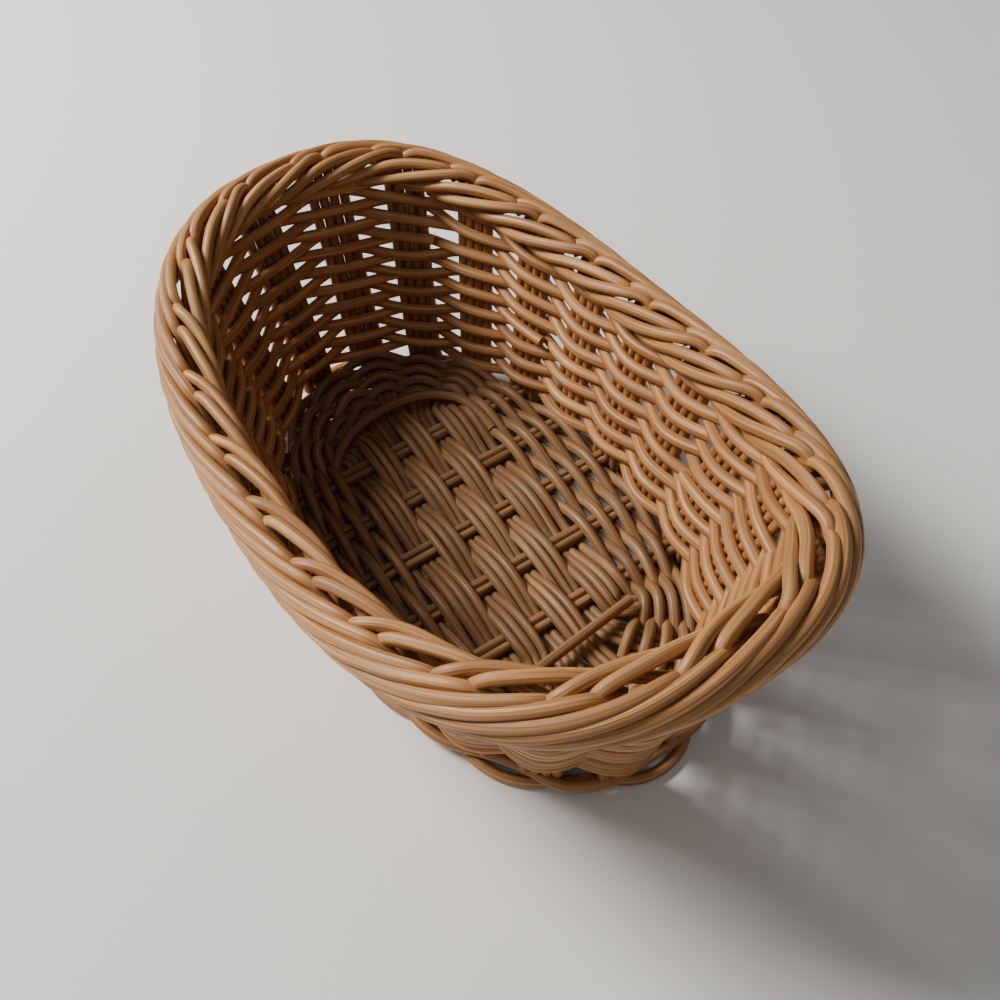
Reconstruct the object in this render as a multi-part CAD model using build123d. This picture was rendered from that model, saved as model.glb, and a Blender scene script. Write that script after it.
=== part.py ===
from build123d import *
import math
import os

# Small oval cane basket, millimetres. +X runs along the basket to its taller end, which flares more,
# +Y is one long side and +Z is up. The pieces are drawn about the middle of the base and then moved,
# so that the origin is on the table under the middle of the rim.

# canes
cane_d = 2.9          # wall, stake, foot and ring canes
cross_cane_d = 2.7    # canes across the floor
floor_cane_d = 2.1    # long canes of the floor
border_cane_d = 2.6   # canes of the rolled border
gap = 0.1             # air between canes that pass each other
wall_bend = 5.0       # radii of the arcs that join a cane's straight runs
ring_bend = 3.0
long_bend = 4.0
stake_bend = 12.0
border_bend = 10.0
loose_bend = 12.0

# the base: an oval line through the feet of the wall stakes
base_half_length = 87.1
base_half_width = 48.1
base_roundness = 2.1

# the rim: an oval line up the middle of the rolled border, shifted towards the near end
rim_half_length = 101.8
rim_half_width = 57.8
rim_roundness = 2.5
rim_shift = 5.6
rim_middle_height = 69.8
rim_end_rise = 16.9
rim_tilt = 3.0

# stakes
stakes = 22
canes_per_stake = 4
stake_foot_z = 6.0    # the stakes stand on the two foot canes
stake_top_drop = 4.5  # from the rim's top down to the cut tops of the stakes
upright_share = 0.12  # the wall stands upright for this share of its height, then leans out
wall_lean = 0.95      # how near the last row comes to lying straight below the rim's middle

# wall weave
wall_rows = 15        # rows that run all the way round
short_rows = 2        # canes in each set of short rows; two sets at each end fill the taller wall
short_sets = (        # full rows below a set, and the stakes it runs past beside an end's middle two
    (6, 3),
    (10, 1),
)
packed_spans = (      # shares of the rim's half length between which the wall closes up for each set
    (0.30, 0.55),
    (0.62, 0.84),
)
short_tuck = 0.36     # stake spacings that a short row runs on past its last stake
first_row_z = 12.0
last_row_drop = 12.0  # from the rim's top down to the last row
foot_rows_z = (1.45, 4.4)

# floor
floor_z = 8.5
cross_bundles = 5
cross_canes = 2
long_bundles = 6
long_canes = 3
long_pitch = 6.62
core_half_length = 46.0
fan_step = 3.0        # each bundle towards the middle runs this much further before it fans out
floor_rings = 8
over_half_width = 2.9  # a long cane lies flat this far on each side of a cross bundle's middle
first_ring_half_width = 22.4
first_ring_share = 0.3  # of the way from a long bundle's turn to its end
last_ring_inset = 2.0
spoke_inset = 1.5
loose_lift = 4.6      # the starter and tail canes lie this far above the middle of the floor
starter_x = -56.0
starter_half_width = 24.5
starter_bow = 11.0    # from the middle of the starter's arch back to its ends
tail_x = 52.0
tail_from_y = -14.0
tail_to_y = 20.0
tail_slant = 2.0      # each end of the tail is this far off its middle along the basket
side_stations = (3, 4, 5, 6, 7, 14, 15, 16, 17, 18)
first_side_station = 7   # of the cross bundle nearest the far end
near_spoke_station = 3   # stakes counted back from a long bundle's number to its near stake
far_spoke_station = 13   # a long bundle's number taken from this gives its far stake

# rolled border
strands_per_stake = 2
outer_centre = 1.8
outer_reach = 5.2
outer_height = 5.4
outer_run = 2.15      # length of an outer strand, in stake spacings
inner_centre = -2.3
inner_reach = 4.2
inner_height = 5.0
inner_run = 1.42
strand_points = 7
border_core_drop = 6.7  # from the rim's top down to the middle of the roll

oval_steps = 1440
butt_gap = 0.2        # between the two ends of a weaver
joint_step = 6        # stakes from one row's butted ends to the next row's
flat_share = 0.27     # part of a stake spacing that a weaver runs flat on each side of a stake


def oval_table(half_length, half_width, roundness, shift):
    """Points of a superellipse with the distance walked to each."""
    points = []
    walked = [0.0]
    for step in range(oval_steps + 1):
        angle = 2 * math.pi * step / oval_steps
        c, s = math.cos(angle), math.sin(angle)
        reach = (abs(c / half_length) ** roundness + abs(s / half_width) ** roundness) ** (-1 / roundness)
        points.append((shift + reach * c, reach * s))
        if step:
            walked.append(walked[-1] + math.dist(points[-1], points[-2]))
    return points, walked


base_oval = oval_table(base_half_length, base_half_width, base_roundness, 0.0)
rim_oval = oval_table(rim_half_length, rim_half_width, rim_roundness, rim_shift)


def on_oval(oval, station):
    """The point at a stake number, whole or not, counted from the middle of the near end."""
    points, walked = oval
    target = (station + 0.5) / stakes % 1.0 * walked[-1]
    low, high = 0, oval_steps
    while high - low > 1:
        middle = (low + high) // 2
        if walked[middle] <= target:
            low = middle
        else:
            high = middle
    share = (target - walked[low]) / (walked[high] - walked[low])
    (x0, y0), (x1, y1) = points[low], points[high]
    return Vector(x0 + (x1 - x0) * share, y0 + (y1 - y0) * share, 0)


def outward(oval, station):
    """Level direction that points out of the basket."""
    along = on_oval(oval, station + 0.05) - on_oval(oval, station - 0.05)
    return Vector(along.Y, -along.X, 0).normalized()


def rim_top(x):
    """Height of the top of the border: low at the middle, high at both ends."""
    t = (x - rim_shift) / (rim_half_length + border_core_drop)
    return rim_middle_height + rim_tilt * t + rim_end_rise * t * t


def on_wall(station, rise):
    """Middle of the wall, rise 0 at the stake feet and 1 at the last row of weaving."""
    foot = on_oval(base_oval, station)
    head = on_oval(rim_oval, station)
    spread = wall_lean * max(0, (rise - upright_share) / (1 - upright_share))
    point = foot + (head - foot) * spread
    top = rim_top(head.X) - last_row_drop
    return Vector(point.X, point.Y, stake_foot_z + (top - stake_foot_z) * rise)


def cane(points, diameter, bend):
    """A round cane along straight runs joined by tangent arcs."""
    path = FilletPolyline(*points, radius=bend)
    profile = Plane(origin=path @ 0, z_dir=path % 0) * Circle(diameter / 2)
    return sweep(sections=profile, path=path)


def straight_cane(run, diameter):
    """A round cane along one straight line."""
    return sweep(sections=Plane(origin=run @ 0, z_dir=run % 0) * Circle(diameter / 2), path=run)


def weaver(crossings, lifts, diameter, bend, joint):
    """One turn of a weaver round all the stakes: flat past each crossing, lifted to one side or the
    other of it. Its two ends butt together at the crossing numbered joint."""
    count = len(crossings)
    points = []
    for turn in range(count + 1):
        k = (joint + turn) % count
        before = crossings[k] - crossings[k - 1]
        after = crossings[(k + 1) % count] - crossings[k]
        along = (before.normalized() + after.normalized()).normalized()
        centre = crossings[k] + lifts[k]
        arrive = centre - along * (flat_share * before.length)
        leave = centre + along * (flat_share * after.length)
        if turn == 0:
            points += [centre + along * butt_gap / 2, leave]
        elif turn == count:
            points += [arrive, centre - along * butt_gap / 2]
        else:
            points += [arrive, leave]
    return cane(points, diameter, bend)


def save(name, solids):
    """One STEP file for a node, with its canes as separate solids."""
    to_origin = Location((-rim_shift, 0, 0))
    export_step(Compound(children=[s.solid().moved(to_origin) for s in solids]), f"parts/{name}.step")


def floor_crossing_x(crossing):
    """Cross bundles lie in line with the side stakes."""
    return on_oval(base_oval, first_side_station - crossing).X


def spoke_end(station):
    """Where a floor cane stops, just inside the stake feet."""
    point = on_oval(base_oval, station) - outward(base_oval, station) * spoke_inset
    return Vector(point.X, point.Y, floor_z)


def long_bundle_y(bundle):
    return (bundle - (long_bundles - 1) / 2) * long_pitch


def spoke_start(bundle, end):
    """Where a long bundle begins to fan out: the outer ones turn first."""
    turn_x = core_half_length + fan_step * (long_bundles / 2 - abs(bundle - (long_bundles - 1) / 2))
    return Vector(end * turn_x, long_bundle_y(bundle), floor_z)


def cross_bundle(crossing):
    """A pair of straight canes from one long side to the other."""
    x = floor_crossing_x(crossing)
    reach = on_oval(base_oval, first_side_station - crossing).Y - spoke_inset
    canes = []
    for side in range(cross_canes):
        shift = (side - (cross_canes - 1) / 2) * (cross_cane_d + gap)
        run = Line(Vector(x + shift, -reach, floor_z), Vector(x + shift, reach, floor_z))
        canes.append(straight_cane(run, cross_cane_d))
    return canes


def long_bundle(bundle):
    """Canes that go over and under the cross bundles and fan out to the stakes of both ends."""
    y = long_bundle_y(bundle)
    lift = (cross_cane_d + floor_cane_d) / 2 + gap
    canes = []
    for strand in range(long_canes):
        shift = (strand - (long_canes - 1) / 2) * (floor_cane_d + gap / 2)
        points = []
        for end, station in ((-1, far_spoke_station - bundle), (1, bundle - near_spoke_station)):
            start, stop = spoke_start(bundle, end), spoke_end(station)
            along = (stop - start).normalized() * end
            across = Vector(-along.Y, along.X, 0)
            mitre = (across + Vector(0, 1, 0)) * (1 / (1 + across.Y))
            points.append([start + mitre * shift, stop + across * shift])
        path = [points[0][1], points[0][0]]
        for crossing in range(cross_bundles):
            x = floor_crossing_x(crossing)
            z = floor_z + lift * (1 if (bundle + crossing) % 2 else -1)
            path += [Vector(x - over_half_width, y + shift, z), Vector(x + over_half_width, y + shift, z)]
        path += points[1]
        canes.append(cane(path, floor_cane_d, long_bend))
    return canes


def floor_ring(ring):
    """One closed weaver round the floor's core, over and under the twenty-two bundle ends."""
    share = ring / (floor_rings - 1)
    crossings, lifts = [], []
    lift = (cane_d + cross_cane_d) / 2 + gap
    for station in range(stakes):
        stop = spoke_end(station)
        outer = stop - outward(base_oval, station) * last_ring_inset
        if station in side_stations:
            inner = Vector(stop.X, math.copysign(first_ring_half_width, stop.Y), floor_z)
        else:
            end = 1 if stop.X > 0 else -1
            bundle = (station + near_spoke_station) % stakes if end > 0 else far_spoke_station - station
            start = spoke_start(bundle, end)
            inner = start + (stop - start) * first_ring_share
            outer = stop + (start - stop).normalized() * last_ring_inset
        crossings.append(inner + (outer - inner) * share)
        lifts.append(Vector(0, 0, lift * (1 if (station + ring) % 2 else -1)))
    return weaver(crossings, lifts, cane_d, ring_bend, (joint_step * ring + ring % 2) % stakes)


def packing(station, layout):
    """0 along the low middle of the rim and 1 round its ends, where a set of short rows is."""
    share = abs(on_oval(rim_oval, station).X - rim_shift) / rim_half_length
    packed_from, packed_to = packed_spans[layout]
    return min(1, max(0, (share - packed_from) / (packed_to - packed_from)))


def row_rise(station, place, set_shares):
    """Rise of a wall row at a stake, from its place in the full rows and its share of each short set."""
    extras = [short_rows * packing(station, layout) for layout in range(len(short_sets))]
    below = sum(share * extra for share, extra in zip(set_shares, extras))
    top = rim_top(on_oval(rim_oval, station).X) - last_row_drop
    first = (first_row_z - stake_foot_z) / (top - stake_foot_z)
    return first + (1 - first) * (place + below) / (wall_rows - 1 + sum(extras))


def wall_crossing(station, rise, parity):
    """Where a wall row passes a stake, and which way it is lifted off the stake there."""
    side = 1 if (station + parity) % 2 else -1
    return on_wall(station, rise), outward(rim_oval, station) * (side * (cane_d + gap))


def wall_row(row):
    """One closed weaver of the wall, outside and inside of the stakes in turn."""
    shares = [1 if row > below else 0 for below, reach in short_sets]
    passes = [wall_crossing(station, row_rise(station, row, shares), row) for station in range(stakes)]
    crossings, lifts = zip(*passes)
    return weaver(crossings, lifts, cane_d, wall_bend, (joint_step * row + row % 2) % stakes)


def short_row(end, layout, layer):
    """An extra weaver round one end of the wall, end 0 near and 1 far, between two full rows."""
    below, reach = short_sets[layout]
    middle = end * stakes / 2 - 0.5
    first = round(middle - 0.5 - reach)
    last = first + 2 * reach + 1
    shares = [1] * layout + [layer / short_rows] + [0] * (len(short_sets) - layout - 1)
    spots = {k: on_wall(k, row_rise(k, below, shares)) for k in range(first - 1, last + 2)}
    points = []
    for station in range(first, last + 1):
        spot, lift = wall_crossing(station, row_rise(station, below, shares), below + layer)
        before = spot - spots[station - 1]
        after = spots[station + 1] - spot
        along = (before.normalized() + after.normalized()).normalized()
        back = short_tuck if station == first else flat_share
        on = short_tuck if station == last else flat_share
        points += [spot + lift - along * (back * before.length), spot + lift + along * (on * after.length)]
    return cane(points, cane_d, wall_bend)


def foot_row(row):
    """One closed cane of the foot: it bows out between two stakes and in between the next two."""
    crossings, lifts = [], []
    for opening in range(stakes):
        side = 1 if (opening + row) % 2 else -1
        point = on_oval(base_oval, opening + 0.5)
        crossings.append(Vector(point.X, point.Y, foot_rows_z[row]))
        lifts.append(outward(base_oval, opening + 0.5) * (side * (cane_d + gap)))
    return weaver(crossings, lifts, cane_d, wall_bend, joint_step * (row + 1) + row % 2)


def wall_stake(station):
    """Canes side by side from the foot up into the roll of the border."""
    canes = []
    for strand in range(canes_per_stake):
        shift = (strand - (canes_per_stake - 1) / 2) * (cane_d + gap / 2)
        points = []
        for rise in (0, upright_share, 1):
            out = outward(rim_oval, station)
            points.append(on_wall(station, rise) + Vector(-out.Y, out.X, 0) * shift)
        head = on_oval(rim_oval, station)
        top = Vector(head.X, head.Y, rim_top(head.X) - stake_top_drop)
        points.append(top + Vector(-out.Y, out.X, 0) * shift)
        canes.append(cane(points, cane_d, stake_bend))
    return canes


def border_strand(station, run, centre, reach, height, angle_from, angle_to):
    """A cane laid round the roll of the border as it runs along the rim."""
    points = []
    for step in range(strand_points):
        share = step / (strand_points - 1)
        place = station + run * share
        angle = math.radians(angle_from + (angle_to - angle_from) * share)
        head = on_oval(rim_oval, place)
        out = outward(rim_oval, place)
        z = rim_top(head.X) - border_core_drop + height * math.sin(angle)
        side = head + out * (centre + reach * math.cos(angle))
        points.append(Vector(side.X, side.Y, z))
    return cane(points, border_cane_d, border_bend)


def outer_strands():
    """Start in the channel on top of the rim and run back and down the outside."""
    places = [k / strands_per_stake for k in range(stakes * strands_per_stake)]
    return [border_strand(k, -outer_run, outer_centre, outer_reach, outer_height, 90, -40) for k in places]


def inner_strands():
    """Start in the same channel and run on and down the inside."""
    places = [k / strands_per_stake for k in range(stakes * strands_per_stake)]
    return [border_strand(k, inner_run, inner_centre, inner_reach, inner_height, 90, 200) for k in places]


def starter_cane():
    """The first weaver's start: it arches over the long bundles at the far end of the core."""
    points = []
    for step in range(-2, 3):
        across = step / 2
        x = starter_x + starter_bow * across * across
        points.append(Vector(x, starter_half_width * across, floor_z + loose_lift))
    return cane(points, cane_d, loose_bend)


def tail_cane():
    """The first weaver's tail: a straight end laid over the near end of the core."""
    z = floor_z + loose_lift
    start = Vector(tail_x + tail_slant, tail_from_y, z)
    return straight_cane(Line(start, Vector(tail_x - tail_slant, tail_to_y, z)), cane_d)


os.makedirs("parts", exist_ok=True)
for crossing in range(cross_bundles):
    save(f"floor_cross_bundle_{crossing + 1}", cross_bundle(crossing))
for bundle in range(long_bundles):
    save(f"floor_long_bundle_{bundle + 1}", long_bundle(bundle))
for ring in range(floor_rings):
    save(f"floor_weaver_{ring + 1}", [floor_ring(ring)])
save("floor_starter_cane", [starter_cane()])
save("floor_tail_cane", [tail_cane()])
for row in range(len(foot_rows_z)):
    save(f"foot_cane_{row + 1}", [foot_row(row)])
save("side_stakes", [c for k in side_stations for c in wall_stake(k)])
save("end_stakes", [c for k in range(stakes) if k not in side_stations for c in wall_stake(k)])
for row in range(wall_rows):
    save(f"wall_weaver_{row + 1:02d}", [wall_row(row)])
for end, end_name in enumerate(("near", "far")):
    for layout in range(len(short_sets)):
        for layer in range(1, short_rows + 1):
            save(f"wall_short_{end_name}_{layout * short_rows + layer}", [short_row(end, layout, layer)])
save("border_outer_strands", outer_strands())
save("border_inner_strands", inner_strands())
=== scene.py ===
import math
import random

import bmesh
import bpy
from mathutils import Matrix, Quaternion, Vector


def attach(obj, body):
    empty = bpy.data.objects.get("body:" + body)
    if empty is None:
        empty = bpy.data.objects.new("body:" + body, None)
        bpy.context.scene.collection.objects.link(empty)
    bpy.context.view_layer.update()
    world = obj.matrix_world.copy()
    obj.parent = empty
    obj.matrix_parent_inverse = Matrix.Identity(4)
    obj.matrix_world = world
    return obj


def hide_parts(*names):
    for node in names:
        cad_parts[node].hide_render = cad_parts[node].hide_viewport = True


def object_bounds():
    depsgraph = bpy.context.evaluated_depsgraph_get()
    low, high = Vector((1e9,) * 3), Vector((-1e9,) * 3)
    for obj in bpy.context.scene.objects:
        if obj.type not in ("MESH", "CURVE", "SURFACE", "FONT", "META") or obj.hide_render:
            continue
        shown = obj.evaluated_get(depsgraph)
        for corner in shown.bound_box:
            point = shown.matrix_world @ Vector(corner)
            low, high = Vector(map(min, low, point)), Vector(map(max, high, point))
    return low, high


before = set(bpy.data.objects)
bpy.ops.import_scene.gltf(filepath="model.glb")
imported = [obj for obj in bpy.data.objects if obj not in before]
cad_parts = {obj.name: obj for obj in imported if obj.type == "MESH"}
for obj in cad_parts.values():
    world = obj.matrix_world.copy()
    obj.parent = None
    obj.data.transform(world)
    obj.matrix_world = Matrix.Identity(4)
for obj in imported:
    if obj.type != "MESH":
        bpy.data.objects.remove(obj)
cadBox = [list(corner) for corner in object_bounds()]
print("frame loaded with", len(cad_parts), "nodes")

# the border stands out past the middle of the rim by this much, so the rim comes from the frame's box
rimOverhang = {"end": 0.008255, "side": 0.008278}

# metres throughout, +X towards the taller end, the origin on the table under the middle of the rim
basket = {
    "stakes": 22,
    "base": {"halfLength": 0.0871, "halfWidth": 0.0481, "roundness": 2.1, "shift": -0.0056},
    "rim": {"halfLength": cadBox[1][0] - rimOverhang["end"], "halfWidth": cadBox[1][1] - rimOverhang["side"],
            "roundness": 2.5, "shift": 0.0},
    "rimMiddleHeight": 0.0698,
    "rimEndRise": 0.0169,
    "rimTilt": 0.003,
    "rimReach": 0.1085,
    "uprightShare": 0.12,
    "lean": 0.95,
    "footHeight": 0.006,
    "ovalSteps": 1440,
    "slopeReach": 0.05,
}

caneShape = {"sideDetail": 4, "stepsPerPoint": 6, "mergeDistance": 0.000001}
millimetres = 1000


def ovalTable(shape):
    points = []
    walked = [0.0]
    for step in range(basket["ovalSteps"] + 1):
        angle = 2 * math.pi * step / basket["ovalSteps"]
        across = abs(math.cos(angle) / shape["halfLength"]) ** shape["roundness"]
        upward = abs(math.sin(angle) / shape["halfWidth"]) ** shape["roundness"]
        reach = (across + upward) ** (-1 / shape["roundness"])
        points.append(Vector((shape["shift"] + reach * math.cos(angle), reach * math.sin(angle), 0)))
        if step:
            walked.append(walked[-1] + (points[-1] - points[-2]).length)
    return points, walked


baseOval = ovalTable(basket["base"])
rimOval = ovalTable(basket["rim"])


def onOval(oval, station):
    # the place at a stake number, whole or not, with the stakes evenly spaced along the line
    points, walked = oval
    target = (station + 0.5) / basket["stakes"] % 1.0 * walked[-1]
    low, high = 0, basket["ovalSteps"]
    while high - low > 1:
        middle = (low + high) // 2
        low, high = (middle, high) if walked[middle] <= target else (low, middle)
    share = (target - walked[low]) / (walked[high] - walked[low])
    return points[low].lerp(points[high], share)


def outward(oval, station):
    reach = basket["slopeReach"]
    along = onOval(oval, station + reach) - onOval(oval, station - reach)
    return Vector((along.y, -along.x, 0)).normalized()


def rimTop(x):
    t = x / basket["rimReach"]
    return basket["rimMiddleHeight"] + basket["rimTilt"] * t + basket["rimEndRise"] * t * t


def onWall(station, rise):
    foot = onOval(baseOval, station)
    head = onOval(rimOval, station)
    spread = basket["lean"] * max(0.0, (rise - basket["uprightShare"]) / (1 - basket["uprightShare"]))
    point = foot.lerp(head, spread)
    top = rimTop(head.x) - wallWeave["lastRowDrop"]
    point.z = basket["footHeight"] + (top - basket["footHeight"]) * rise
    return point


def onBorder(station, out, drop):
    # a place in the rolled border: out from the middle of the rim and down from its top
    head = onOval(rimOval, station)
    point = head + outward(rimOval, station) * out
    point.z = rimTop(head.x) - drop
    return point


def jitter(dice, size):
    return dice.uniform(-size, size)


def caneMesh(cane):
    # a round cane on a smooth line, with its real length and a tone of its own kept on the mesh
    data = bpy.data.curves.new("caneLine", "CURVE")
    data.dimensions = "3D"
    data.bevel_depth = cane["radius"]
    data.bevel_resolution = caneShape["sideDetail"]
    data.use_fill_caps = not cane["closed"]
    spline = data.splines.new("NURBS")
    spline.points.add(len(cane["points"]) - 1)
    for knot, place in zip(spline.points, cane["points"]):
        knot.co = (*place, 1.0)
    spline.use_cyclic_u = cane["closed"]
    spline.use_endpoint_u = not cane["closed"]
    spline.order_u = 3
    spline.resolution_u = cane.get("steps", caneShape["stepsPerPoint"])
    length = spline.calc_length()
    line = bpy.data.objects.new("caneLine", data)
    mesh = bpy.data.meshes.new_from_object(line)
    bpy.data.objects.remove(line)
    bpy.data.curves.remove(data)
    # the curve's U runs along the cane: turned to U round it and V along it in millimetres
    for corner in mesh.uv_layers[0].data:
        corner.uv = (corner.uv.y, corner.uv.x * length * millimetres)
    tone = mesh.attributes.new("tone", "FLOAT", "POINT")
    tone.data.foreach_set("value", [cane["tone"]] * len(mesh.vertices))
    return mesh


def canePiece(name, nodes, canes, material):
    # one piece for a group of canes, standing for the CAD nodes that hold their place
    shape = bmesh.new()
    for cane in canes:
        mesh = caneMesh(cane)
        shape.from_mesh(mesh)
        bpy.data.meshes.remove(mesh)
    bmesh.ops.remove_doubles(shape, verts=shape.verts, dist=caneShape["mergeDistance"])
    bmesh.ops.recalc_face_normals(shape, faces=shape.faces)
    for face in shape.faces:
        face.smooth = len(face.verts) == 4
    for edge in shape.edges:
        edge.smooth = all(len(face.verts) == 4 for face in edge.link_faces)
    data = bpy.data.meshes.new(name)
    shape.to_mesh(data)
    shape.free()
    data.materials.append(material)
    piece = bpy.data.objects.new(name, data)
    bpy.context.collection.objects.link(piece)
    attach(piece, "root")
    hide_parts(*nodes)


# each noise is stretched along the cane by its first value and has its own scale and detail,
# and its mask runs between the last two
skinLook = {
    "grooves": {"along": 0.004, "scale": 2.7, "detail": 1.0, "low": 0.40, "high": 0.60},
    "hairs": {"along": 0.010, "scale": 7.5, "detail": 1.0, "low": 0.38, "high": 0.64},
    "patches": {"along": 0.016, "scale": 0.8, "detail": 0.0, "low": 0.32, "high": 0.68},
    "flecks": {"along": 0.07, "scale": 5.0, "detail": 1.0, "low": 0.68, "high": 0.80},
    "noiseRoughness": 0.5,
    "toneShift": 37.0,
    "warmthShare": 0.55,
    "grooveDarkness": 0.50,
    "hairDarkness": 0.26,
    "fleckDarkness": 0.22,
    "grooveRelief": 0.7,
    "hairRelief": 0.3,
    "matt": 0.62,
    "glossRange": 0.35,
    "grooveMatt": 0.12,
}


def socketIn(group, name, kind, value):
    socket = group.interface.new_socket(name=name, in_out="INPUT", socket_type=kind)
    socket.default_value = value


def buildCaneSkin():
    # colour, roughness and relief of a smooth cane with fine lines along it
    group = bpy.data.node_groups.new("caneSkin", "ShaderNodeTree")
    socketIn(group, "Pale", "NodeSocketColor", (0.6, 0.35, 0.17, 1))
    socketIn(group, "Middle", "NodeSocketColor", (0.45, 0.23, 0.1, 1))
    socketIn(group, "Deep", "NodeSocketColor", (0.2, 0.09, 0.035, 1))
    socketIn(group, "Line Depth", "NodeSocketFloat", 0.5)
    socketIn(group, "Gloss", "NodeSocketFloat", 0.5)
    group.interface.new_socket(name="Color", in_out="OUTPUT", socket_type="NodeSocketColor")
    group.interface.new_socket(name="Roughness", in_out="OUTPUT", socket_type="NodeSocketFloat")
    group.interface.new_socket(name="Height", in_out="OUTPUT", socket_type="NodeSocketFloat")
    nodes, links = group.nodes, group.links
    inputs = nodes.new("NodeGroupInput")
    outputs = nodes.new("NodeGroupOutput")

    def calc(operation, *values):
        node = nodes.new("ShaderNodeMath")
        node.operation = operation
        for index, value in enumerate(values):
            if isinstance(value, (int, float)):
                node.inputs[index].default_value = value
            else:
                links.new(value, node.inputs[index])
        return node.outputs[0]

    def blendColour(factor, first, second):
        # a Mix node's colour sockets are its inputs 6 and 7 and its output 2
        node = nodes.new("ShaderNodeMix")
        node.data_type = "RGBA"
        for index, value in ((0, factor), (6, first), (7, second)):
            links.new(value, node.inputs[index])
        return node.outputs[2]

    def spread(value, low, high):
        node = nodes.new("ShaderNodeMapRange")
        node.interpolation_type = "SMOOTHSTEP"
        node.inputs["From Min"].default_value = low
        node.inputs["From Max"].default_value = high
        links.new(value, node.inputs["Value"])
        return node.outputs["Result"]

    uv = nodes.new("ShaderNodeUVMap")
    uv.uv_map = "UVMap"
    parts = nodes.new("ShaderNodeSeparateXYZ")
    links.new(uv.outputs["UV"], parts.inputs[0])
    tone = nodes.new("ShaderNodeAttribute")
    tone.attribute_name = "tone"
    toneValue = tone.outputs["Fac"]
    turn = calc("MULTIPLY", parts.outputs["X"], 2 * math.pi)
    side = calc("COSINE", turn)
    height = calc("SINE", turn)
    shift = calc("MULTIPLY", toneValue, skinLook["toneShift"])

    def wrap(alongScale):
        # wraps round the cane without a seam, stretched along it
        node = nodes.new("ShaderNodeCombineXYZ")
        links.new(side, node.inputs[0])
        links.new(height, node.inputs[1])
        links.new(calc("MULTIPLY_ADD", parts.outputs["Y"], alongScale, shift), node.inputs[2])
        return node.outputs[0]

    def mask(look):
        node = nodes.new("ShaderNodeTexNoise")
        node.inputs["Scale"].default_value = look["scale"]
        node.inputs["Detail"].default_value = look["detail"]
        node.inputs["Roughness"].default_value = skinLook["noiseRoughness"]
        links.new(wrap(look["along"]), node.inputs["Vector"])
        return spread(node.outputs["Fac"], look["low"], look["high"])

    def darken(colour, where, amount):
        return blendColour(calc("MULTIPLY", where, amount), colour, inputs.outputs["Deep"])

    grooveMask = mask(skinLook["grooves"])
    hairMask = mask(skinLook["hairs"])
    patchMask = mask(skinLook["patches"])
    fleckMask = mask(skinLook["flecks"])
    inGroove = calc("SUBTRACT", 1.0, grooveMask)
    warmth = calc("MULTIPLY", spread(toneValue, 0.0, 1.0), skinLook["warmthShare"])
    colour = blendColour(patchMask, inputs.outputs["Middle"], inputs.outputs["Pale"])
    colour = blendColour(warmth, colour, inputs.outputs["Middle"])
    colour = darken(colour, inGroove, skinLook["grooveDarkness"])
    colour = darken(colour, calc("SUBTRACT", 1.0, hairMask), skinLook["hairDarkness"])
    colour = darken(colour, fleckMask, skinLook["fleckDarkness"])
    links.new(colour, outputs.inputs["Color"])

    grooveHeight = calc("MULTIPLY", grooveMask, skinLook["grooveRelief"])
    relief = calc("ADD", grooveHeight, calc("MULTIPLY", hairMask, skinLook["hairRelief"]))
    links.new(calc("MULTIPLY", relief, inputs.outputs["Line Depth"]), outputs.inputs["Height"])
    polish = calc("MULTIPLY", inputs.outputs["Gloss"], skinLook["glossRange"])
    rough = calc("SUBTRACT", skinLook["matt"], polish)
    rough = calc("ADD", rough, calc("MULTIPLY", inGroove, skinLook["grooveMatt"]))
    links.new(rough, outputs.inputs["Roughness"])
    return group


surfaceFeel = {"reliefStrength": 0.5, "reliefDepth": 0.00013, "specular": 0.42}

# the stake, foot and floor canes are the wall's cane in darker colours: painted shade for where each sits in
# the weave
finishes = {
    "borderCane": {"pale": (0.70, 0.355, 0.130), "middle": (0.50, 0.228, 0.073), "deep": (0.15, 0.054, 0.014),
                   "lineDepth": 0.7, "gloss": 0.60},
    "wallCane": {"pale": (0.73, 0.365, 0.133), "middle": (0.53, 0.236, 0.075), "deep": (0.15, 0.052, 0.013),
                 "lineDepth": 0.7, "gloss": 0.60},
    # painted shade: darker for the stakes, seen only in the gaps between the weavers
    "stakeCanePaintedShade": {"pale": (0.50, 0.238, 0.088), "middle": (0.36, 0.155, 0.052), "deep": (0.12, 0.042, 0.012),
                  "lineDepth": 0.7, "gloss": 0.45},
    # painted shade: darker for the foot, low by the table under the wall
    "footCane": {"pale": (0.56, 0.285, 0.112), "middle": (0.42, 0.192, 0.067), "deep": (0.15, 0.054, 0.015),
                 "lineDepth": 0.7, "gloss": 0.5},
    # painted shade: darkest for the floor, down inside the basket
    "floorCanePaintedShade": {"pale": (0.40, 0.216, 0.088), "middle": (0.27, 0.130, 0.048), "deep": (0.09, 0.034, 0.010),
                  "lineDepth": 0.7, "gloss": 0.5},
}


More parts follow.
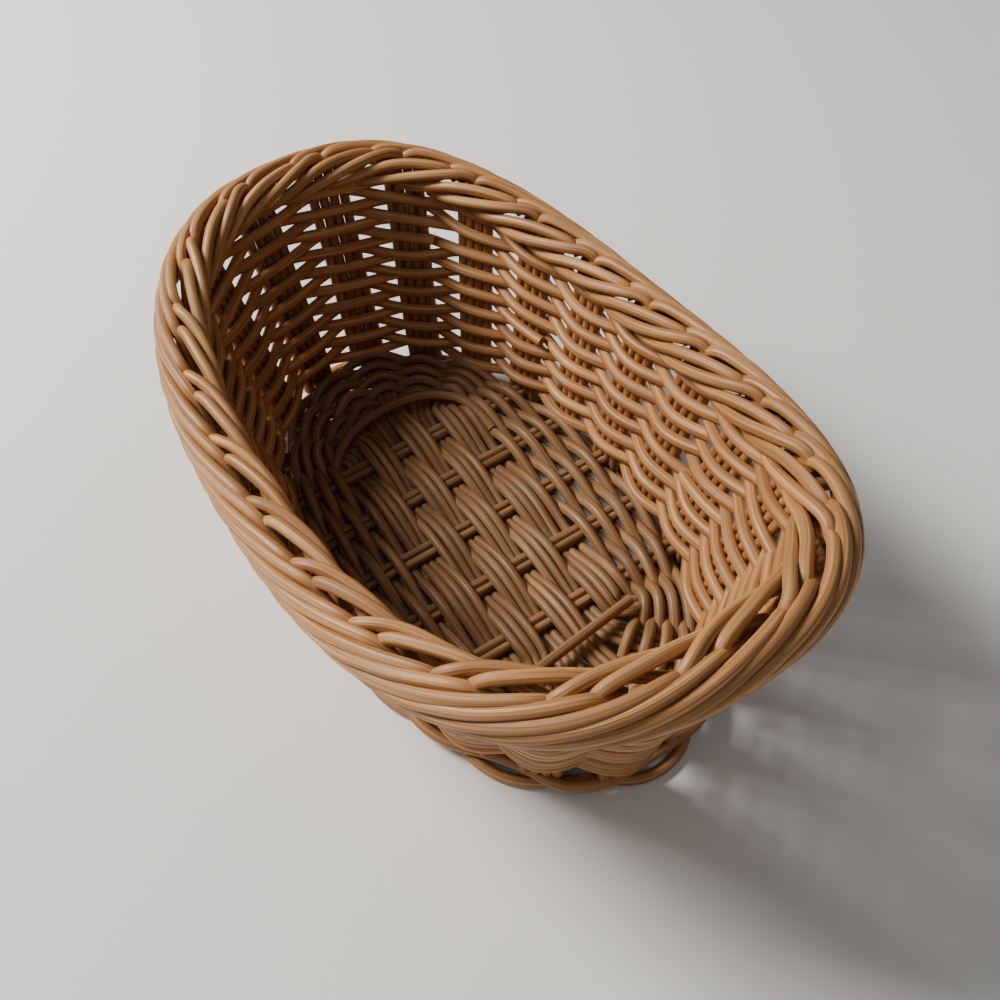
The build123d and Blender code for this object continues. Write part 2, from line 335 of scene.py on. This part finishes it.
def caneMaterial(name, look, skin):
    material = bpy.data.materials.new(name)
    material.use_nodes = True
    nodes, links = material.node_tree.nodes, material.node_tree.links
    shader = nodes["Principled BSDF"]
    surface = nodes.new("ShaderNodeGroup")
    surface.node_tree = skin
    surface.inputs["Pale"].default_value = (*look["pale"], 1)
    surface.inputs["Middle"].default_value = (*look["middle"], 1)
    surface.inputs["Deep"].default_value = (*look["deep"], 1)
    surface.inputs["Line Depth"].default_value = look["lineDepth"]
    surface.inputs["Gloss"].default_value = look["gloss"]
    bump = nodes.new("ShaderNodeBump")
    bump.inputs["Strength"].default_value = surfaceFeel["reliefStrength"]
    bump.inputs["Distance"].default_value = surfaceFeel["reliefDepth"]
    links.new(surface.outputs["Color"], shader.inputs["Base Color"])
    links.new(surface.outputs["Roughness"], shader.inputs["Roughness"])
    links.new(surface.outputs["Height"], bump.inputs["Height"])
    links.new(bump.outputs["Normal"], shader.inputs["Normal"])
    shader.inputs["Specular IOR Level"].default_value = surfaceFeel["specular"]
    return material


skinGroup = buildCaneSkin()
materials = {name: caneMaterial(name, look, skinGroup) for name, look in finishes.items()}
print("materials ready")


def weaverPoints(crossings, lifts, flatShare, dice, loose):
    # a closed weaver that runs flat past each stake, lifted to one side or the other of it
    count = len(crossings)
    points = []
    for k in range(count):
        before = crossings[k] - crossings[k - 1]
        after = crossings[(k + 1) % count] - crossings[k]
        along = (before.normalized() + after.normalized()).normalized()
        centre = crossings[k] + lifts[k] + along * jitter(dice, loose)
        points.append(centre - along * (flatShare * before.length))
        points.append(centre + along * (flatShare * after.length))
    return points


# a set of short rows has the full rows below it, the stakes it runs past beside an end's middle two,
# and the shares of the rim's half length between which the wall closes up for it
wallWeave = {
    "rows": 15,
    "shortRows": 2,
    "shortSets": ({"below": 6, "reach": 3, "packedFrom": 0.25, "packedTo": 0.50},
                  {"below": 10, "reach": 1, "packedFrom": 0.70, "packedTo": 0.89}),
    "shortTucks": (0.38, 0.60),
    "radius": 0.00166,
    "lift": 0.0028,
    "firstRowHeight": 0.012,
    "lastRowDrop": 0.012,
    "flatShare": 0.2,
    "heightPlay": 0.00018,
    "liftPlay": 0.00013,
    "alongPlay": 0.0007,
}


def rowRise(station, place, setShares):
    head = onOval(rimOval, station)
    across = abs(head.x) / basket["rim"]["halfLength"]
    extras = []
    for look in wallWeave["shortSets"]:
        packed = (across - look["packedFrom"]) / (look["packedTo"] - look["packedFrom"])
        extras.append(wallWeave["shortRows"] * min(1.0, max(0.0, packed)))
    below = sum(share * extra for share, extra in zip(setShares, extras))
    top = rimTop(head.x) - wallWeave["lastRowDrop"]
    first = (wallWeave["firstRowHeight"] - basket["footHeight"]) / (top - basket["footHeight"])
    return first + (1 - first) * (place + below) / (wallWeave["rows"] - 1 + sum(extras))


def wallCrossing(station, rise, parity, dice):
    spot = onWall(station, rise)
    spot.z += jitter(dice, wallWeave["heightPlay"])
    side = 1 if (station + parity) % 2 else -1
    lift = outward(rimOval, station) * (side * (wallWeave["lift"] + jitter(dice, wallWeave["liftPlay"])))
    return spot, lift


def wallRow(row, dice):
    shares = [1 if row > look["below"] else 0 for look in wallWeave["shortSets"]]
    passes = [wallCrossing(station, rowRise(station, row, shares), row, dice)
              for station in range(basket["stakes"])]
    crossings, lifts = zip(*passes)
    points = weaverPoints(crossings, lifts, wallWeave["flatShare"], dice, wallWeave["alongPlay"])
    return {"points": points, "radius": wallWeave["radius"], "closed": True, "tone": dice.random()}


def shortRow(end, layout, layer, dice):
    # an open row round one end of the wall, its ends cut just past a stake
    look = wallWeave["shortSets"][layout]
    middle = end * basket["stakes"] / 2 - 0.5
    first = round(middle - 0.5 - look["reach"])
    last = first + 2 * look["reach"] + 1
    after = len(wallWeave["shortSets"]) - layout - 1
    shares = [1] * layout + [layer / wallWeave["shortRows"]] + [0] * after
    spots = {k: onWall(k, rowRise(k, look["below"], shares)) for k in range(first - 1, last + 2)}
    tuck = wallWeave["shortTucks"][layer - 1]
    points = []
    for station in range(first, last + 1):
        rise = rowRise(station, look["below"], shares)
        spot, lift = wallCrossing(station, rise, look["below"] + layer, dice)
        before = spot - spots[station - 1]
        beyond = spots[station + 1] - spot
        along = (before.normalized() + beyond.normalized()).normalized()
        back = tuck if station == first else wallWeave["flatShare"]
        on = tuck if station == last else wallWeave["flatShare"]
        points.append(spot + lift - along * (back * before.length))
        points.append(spot + lift + along * (on * beyond.length))
    return {"points": points, "radius": wallWeave["radius"], "closed": False, "tone": dice.random()}


dice = random.Random(41)
for row in range(wallWeave["rows"]):
    name = f"wallWeaver{row + 1:02d}"
    node = f"wall_weaver_{row + 1:02d}"
    canePiece(name, [node], [wallRow(row, dice)], materials["wallCane"])
for end, endName in enumerate(("near", "far")):
    for layout in range(len(wallWeave["shortSets"])):
        for layer in range(1, wallWeave["shortRows"] + 1):
            number = layout * wallWeave["shortRows"] + layer
            canePiece(f"wallShort{endName.title()}{number}", [f"wall_short_{endName}_{number}"],
                      [shortRow(end, layout, layer, dice)], materials["wallCane"])
print("wall woven")

foot = {
    "heights": (0.0015, 0.0045),
    "radius": 0.00148,
    "out": 0.0010,
    "lift": 0.0016,
    "flatShare": 0.27,
    "alongPlay": 0.0005,
}


def footRow(row, dice):
    # bows out between two stakes and in between the next two
    crossings, lifts = [], []
    for opening in range(basket["stakes"]):
        side = 1 if (opening + row) % 2 else -1
        place = onOval(baseOval, opening + 0.5) + outward(baseOval, opening + 0.5) * foot["out"]
        place.z = foot["heights"][row]
        crossings.append(place)
        lifts.append(outward(baseOval, opening + 0.5) * (side * foot["lift"]))
    points = weaverPoints(crossings, lifts, foot["flatShare"], dice, foot["alongPlay"])
    return {"points": points, "radius": foot["radius"], "closed": True, "tone": dice.random()}


for row in range(len(foot["heights"])):
    canePiece(f"footCane{row + 1}", [f"foot_cane_{row + 1}"], [footRow(row, dice)],
              materials["footCane"])

stake = {
    "canes": 4,
    "footSpacing": 0.00285,
    "topSpacing": 0.00325,
    "radius": 0.00156,
    "rises": (0.0, 0.12, 0.3, 0.5, 0.7, 0.85, 1.0),
    "sideStations": (3, 4, 5, 6, 7, 14, 15, 16, 17, 18),
    "sway": 0.00018,
    "tops": ((0.0002, 0.0092), (0.0008, 0.0068), (0.0022, 0.0060), (0.0036, 0.0068)),
}


def wallStake(station, dice):
    canes = []
    for strand in range(stake["canes"]):
        rank = strand - (stake["canes"] - 1) / 2
        out = outward(rimOval, station)
        side = Vector((-out.y, out.x, 0))
        points = []
        for rise in stake["rises"]:
            # a stake's canes stand a little further apart towards the top
            shift = rank * (stake["footSpacing"] + (stake["topSpacing"] - stake["footSpacing"]) * rise)
            place = onWall(station, rise) + side * (shift + jitter(dice, stake["sway"]))
            points.append(place + out * jitter(dice, stake["sway"]))
        # the tops bend over outwards inside the border's roll
        for lean, drop in stake["tops"]:
            points.append(onBorder(station, lean, drop) + side * shift)
        canes.append({"points": points, "radius": stake["radius"], "closed": False, "tone": dice.random()})
    return canes


sideCanes, endCanes = [], []
for station in range(basket["stakes"]):
    (sideCanes if station in stake["sideStations"] else endCanes).extend(wallStake(station, dice))
canePiece("sideStakes", ["side_stakes"], sideCanes, materials["stakeCanePaintedShade"])
canePiece("endStakes", ["end_stakes"], endCanes, materials["stakeCanePaintedShade"])
print("stakes standing")

# the outer strands wind down round the roll, the inner ones are places along the rim in stake spacings,
# out from its middle and down from its top
border = {
    "radius": 0.00154,
    "outer": {"run": -2.25, "centre": 0.0017, "reach": 0.0050, "height": 0.0051, "core": 0.0068,
              "from": 88, "to": -44, "steps": 8, "starts": (-0.18, 0.22), "settles": 0.1},
    "dive": ((0.62, -0.0012, 0.0092), (0.42, -0.0016, 0.0070), (0.24, -0.0015, 0.0040),
             (0.13, -0.0010, 0.0014)),
    "innerFirst": ((-0.07, 0.0010, 0.0052), (-0.01, 0.0009, 0.0028), (0.11, -0.0004, 0.0015),
                   (0.28, -0.0029, 0.0016), (0.52, -0.0050, 0.0028), (0.8, -0.0061, 0.0047),
                   (1.1, -0.0062, 0.0069), (1.36, -0.0050, 0.0090), (1.6, -0.0028, 0.0104)),
    "innerSecond": ((0.26, 0.0002, 0.0052), (0.32, 0.0001, 0.0030), (0.46, -0.0014, 0.0016),
                    (0.78, -0.0033, 0.0018), (1.05, -0.0046, 0.0028), (1.27, -0.0051, 0.0045),
                    (1.52, -0.0055, 0.0067), (1.78, -0.0048, 0.0088), (2.0, -0.0028, 0.0104)),
    "play": 0.00013,
}


def outerStrand(station, second, dice):
    look = border["outer"]
    play = border["play"]
    places = []
    for step in range(look["steps"] + 1):
        share = step / look["steps"]
        angle = math.radians(look["from"] + (look["to"] - look["from"]) * share)
        out = look["centre"] + look["reach"] * math.cos(angle)
        drop = look["core"] - look["height"] * math.sin(angle)
        # the second strand of a stake starts a little close to the first and evens out further down
        start = look["starts"][1] + look["settles"] * share if second else look["starts"][0]
        places.append((start + look["run"] * share, out, drop))
    along, out, drop = places[0]
    dive = [(along + ahead, out + inward, drop + down) for ahead, inward, down in border["dive"]]
    points = []
    for along, out, drop in dive + places:
        points.append(onBorder(station + along, out + jitter(dice, play), drop + abs(jitter(dice, play))))
    return {"points": points, "radius": border["radius"], "closed": False, "tone": dice.random()}


def innerStrand(station, second, dice):
    play = border["play"]
    points = []
    for along, out, drop in border["innerSecond" if second else "innerFirst"]:
        points.append(onBorder(station + along, out + jitter(dice, play), drop + abs(jitter(dice, play))))
    return {"points": points, "radius": border["radius"], "closed": False, "tone": dice.random()}


outerCanes = [outerStrand(k, second, dice) for k in range(basket["stakes"]) for second in (False, True)]
innerCanes = [innerStrand(k, second, dice) for k in range(basket["stakes"]) for second in (False, True)]
canePiece("borderOuterStrands", ["border_outer_strands"], outerCanes, materials["borderCane"])
canePiece("borderInnerStrands", ["border_inner_strands"], innerCanes, materials["borderCane"])
print("border rolled")

floorWeave = {
    "height": 0.0085,
    "crossBundles": 5,
    "crossSpacing": 0.0028,
    "crossRadius": 0.00138,
    "longBundles": 6,
    "longCanes": 3,
    "longPitch": 0.00662,
    "longRadius": 0.00133,
    "longSpacing": 0.00222,
    "overSpacing": 0.00275,
    "overLift": 0.0027,
    "underLift": 0.0024,
    "overFlat": 0.0048,
    "underFlat": 0.0024,
    "coreHalfLength": 0.046,
    "fanStep": 0.003,
    "rings": 8,
    "ringRadius": 0.0016,
    "ringLift": 0.0026,
    "firstRingHalfWidth": 0.0224,
    "firstRingShare": 0.3,
    "lastRingInset": 0.002,
    "spokeInset": 0.0015,
    "flatShare": 0.2,
    "firstCrossStation": 7,
    "farSpokeStation": 13,
    "nearSpokeOffset": 3,
    "crossSteps": 8,
    "crossPlay": 0.0001,
    "longPlay": 0.00012,
    "ringPlay": 0.0004,
}


def crossingX(crossing):
    return onOval(baseOval, floorWeave["firstCrossStation"] - crossing).x


def spokeEnd(station):
    place = onOval(baseOval, station) - outward(baseOval, station) * floorWeave["spokeInset"]
    place.z = floorWeave["height"]
    return place


def longY(bundle):
    return (bundle - (floorWeave["longBundles"] - 1) / 2) * floorWeave["longPitch"]


def spokeStart(bundle, end):
    middle = (floorWeave["longBundles"] - 1) / 2
    turn = floorWeave["coreHalfLength"] + floorWeave["fanStep"] * (middle + 0.5 - abs(bundle - middle))
    return Vector((basket["base"]["shift"] + end * turn, longY(bundle), floorWeave["height"]))


def crossBundle(crossing, dice):
    canes = []
    reach = onOval(baseOval, floorWeave["firstCrossStation"] - crossing).y - floorWeave["spokeInset"]
    play = floorWeave["crossPlay"]
    for side in (-0.5, 0.5):
        x = crossingX(crossing) + side * floorWeave["crossSpacing"]
        points = []
        for step in range(floorWeave["crossSteps"] + 1):
            y = -reach + 2 * reach * step / floorWeave["crossSteps"]
            points.append(Vector((x + jitter(dice, play), y, floorWeave["height"] + jitter(dice, play))))
        canes.append({"points": points, "radius": floorWeave["crossRadius"], "closed": False,
                      "tone": dice.random()})
    return canes


def longBundle(bundle, dice):
    canes = []
    y = longY(bundle)
    play = floorWeave["longPlay"]
    stations = ((-1, floorWeave["farSpokeStation"] - bundle), (1, bundle - floorWeave["nearSpokeOffset"]))
    for strand in range(floorWeave["longCanes"]):
        rank = strand - (floorWeave["longCanes"] - 1) / 2
        shift = rank * floorWeave["longSpacing"]
        ends = []
        for end, station in stations:
            start, stop = spokeStart(bundle, end), spokeEnd(station)
            along = (stop - start).normalized() * end
            across = Vector((-along.y, along.x, 0))
            mitre = (across + Vector((0, 1, 0))) / (1 + across.y)
            halfway = start.lerp(stop, 0.5)
            ends.append([start + mitre * shift, halfway + across * shift, stop + across * shift])
        points = ends[0][::-1]
        for crossing in range(floorWeave["crossBundles"]):
            x = crossingX(crossing)
            over = 1 if (bundle + crossing) % 2 else -1
            # canes spread out on top of a cross bundle and draw together under it
            spread = rank * floorWeave["overSpacing" if over > 0 else "longSpacing"]
            lift = floorWeave["overLift"] if over > 0 else -floorWeave["underLift"]
            flat = floorWeave["overFlat" if over > 0 else "underFlat"]
            for step in (-flat, flat):
                z = floorWeave["height"] + lift + jitter(dice, play)
                points.append(Vector((x + step, y + spread + jitter(dice, play), z)))
        points += ends[1]
        canes.append({"points": points, "radius": floorWeave["longRadius"], "closed": False,
                      "tone": dice.random()})
    return canes


def floorRing(ring, dice):
    share = ring / (floorWeave["rings"] - 1)
    crossings, lifts = [], []
    for station in range(basket["stakes"]):
        stop = spokeEnd(station)
        outer = stop - outward(baseOval, station) * floorWeave["lastRingInset"]
        if station in stake["sideStations"]:
            inner = Vector((stop.x, math.copysign(floorWeave["firstRingHalfWidth"], stop.y), stop.z))
        else:
            end = 1 if stop.x > basket["base"]["shift"] else -1
            nearBundle = (station + floorWeave["nearSpokeOffset"]) % basket["stakes"]
            farBundle = floorWeave["farSpokeStation"] - station
            start = spokeStart(nearBundle if end > 0 else farBundle, end)
            inner = start.lerp(stop, floorWeave["firstRingShare"])
            outer = stop + (start - stop).normalized() * floorWeave["lastRingInset"]
        crossings.append(inner.lerp(outer, share))
        side = 1 if (station + ring) % 2 else -1
        lifts.append(Vector((0, 0, side * floorWeave["ringLift"])))
    points = weaverPoints(crossings, lifts, floorWeave["flatShare"], dice, floorWeave["ringPlay"])
    return {"points": points, "radius": floorWeave["ringRadius"], "closed": True, "tone": dice.random()}


for crossing in range(floorWeave["crossBundles"]):
    canePiece(f"floorCrossBundle{crossing + 1}", [f"floor_cross_bundle_{crossing + 1}"],
              crossBundle(crossing, dice), materials["floorCanePaintedShade"])
for bundle in range(floorWeave["longBundles"]):
    canePiece(f"floorLongBundle{bundle + 1}", [f"floor_long_bundle_{bundle + 1}"],
              longBundle(bundle, dice), materials["floorCanePaintedShade"])
for ring in range(floorWeave["rings"]):
    canePiece(f"floorWeaver{ring + 1}", [f"floor_weaver_{ring + 1}"], [floorRing(ring, dice)],
              materials["floorCanePaintedShade"])

looseEnds = {
    "starter": ((-0.047, -0.0262, 0.0), (-0.0520, -0.0215, 0.0030), (-0.0580, -0.013, 0.0042),
                (-0.0606, 0.0, 0.0046), (-0.0588, 0.013, 0.0045), (-0.0522, 0.0215, 0.0042),
                (-0.0440, 0.0246, 0.0036), (-0.0350, 0.0252, 0.0010)),
    "tail": ((0.0484, -0.014, 0.0046), (0.0464, 0.002, 0.0048), (0.0444, 0.020, 0.0046)),
    "radius": 0.00144,
    "stepsPerPoint": 12,
}


def loosePiece(name, node, route):
    points = [Vector((x, y, floorWeave["height"] + lift)) for x, y, lift in route]
    cane = {"points": points, "radius": looseEnds["radius"], "closed": False, "tone": dice.random(),
            "steps": looseEnds["stepsPerPoint"]}
    canePiece(name, [node], [cane], materials["floorCanePaintedShade"])


loosePiece("floorStarterCane", "floor_starter_cane", looseEnds["starter"])
loosePiece("floorTailCane", "floor_tail_cane", looseEnds["tail"])
print("floor woven")

stage = {
    "size": 6.0,
    "colour": (0.83, 0.815, 0.78),
    "clothRoughness": 0.9,
    "camera": {"place": (0.1772, -0.0834, 0.2576), "forward": (-0.5735, 0.2922, -0.7650), "roll": -0.121,
               "lens": 39.04, "sensor": 36.0, "nearest": 0.01},
    "key": {"place": (-0.64, -0.46, 0.78), "size": 0.40, "power": 20.0, "colour": (1.0, 0.975, 0.945)},
    "fill": {"place": (0.5, -0.9, 1.3), "size": 1.4, "power": 1.5, "colour": (0.98, 0.99, 1.0)},
    "sky": {"strength": 0.20, "colour": (0.98, 0.99, 1.0)},
}


def makeStage():
    shape = bmesh.new()
    bmesh.ops.create_grid(shape, x_segments=1, y_segments=1, size=stage["size"] / 2)
    data = bpy.data.meshes.new("tableTop")
    shape.to_mesh(data)
    shape.free()
    cloth = bpy.data.materials.new("tableTop")
    cloth.use_nodes = True
    shader = cloth.node_tree.nodes["Principled BSDF"]
    shader.inputs["Base Color"].default_value = (*stage["colour"], 1)
    shader.inputs["Roughness"].default_value = stage["clothRoughness"]
    data.materials.append(cloth)
    table = bpy.data.objects.new("tableTop", data)
    bpy.context.collection.objects.link(table)


def areaLight(name, look):
    data = bpy.data.lights.new(name, "AREA")
    data.size = look["size"]
    data.energy = look["power"]
    data.color = look["colour"]
    lamp = bpy.data.objects.new(name, data)
    lamp.location = look["place"]
    lamp.rotation_euler = (-Vector(look["place"])).to_track_quat("-Z", "Y").to_euler()
    bpy.context.collection.objects.link(lamp)


def makeCamera():
    look = stage["camera"]
    data = bpy.data.cameras.new("viewCamera")
    data.lens = look["lens"]
    data.sensor_width = look["sensor"]
    data.clip_start = look["nearest"]
    camera = bpy.data.objects.new("viewCamera", data)
    camera.location = look["place"]
    turn = Vector(look["forward"]).to_track_quat("-Z", "Y") @ Quaternion((0, 0, 1), look["roll"])
    camera.rotation_euler = turn.to_euler()
    bpy.context.collection.objects.link(camera)
    bpy.context.scene.camera = camera


makeStage()
areaLight("keyLight", stage["key"])
areaLight("fillLight", stage["fill"])
makeCamera()
world = bpy.data.worlds.new("softSky")
world.use_nodes = True
sky = world.node_tree.nodes["Background"]
sky.inputs["Color"].default_value = (*stage["sky"]["colour"], 1)
sky.inputs["Strength"].default_value = stage["sky"]["strength"]
bpy.context.scene.world = world
print("stage set")
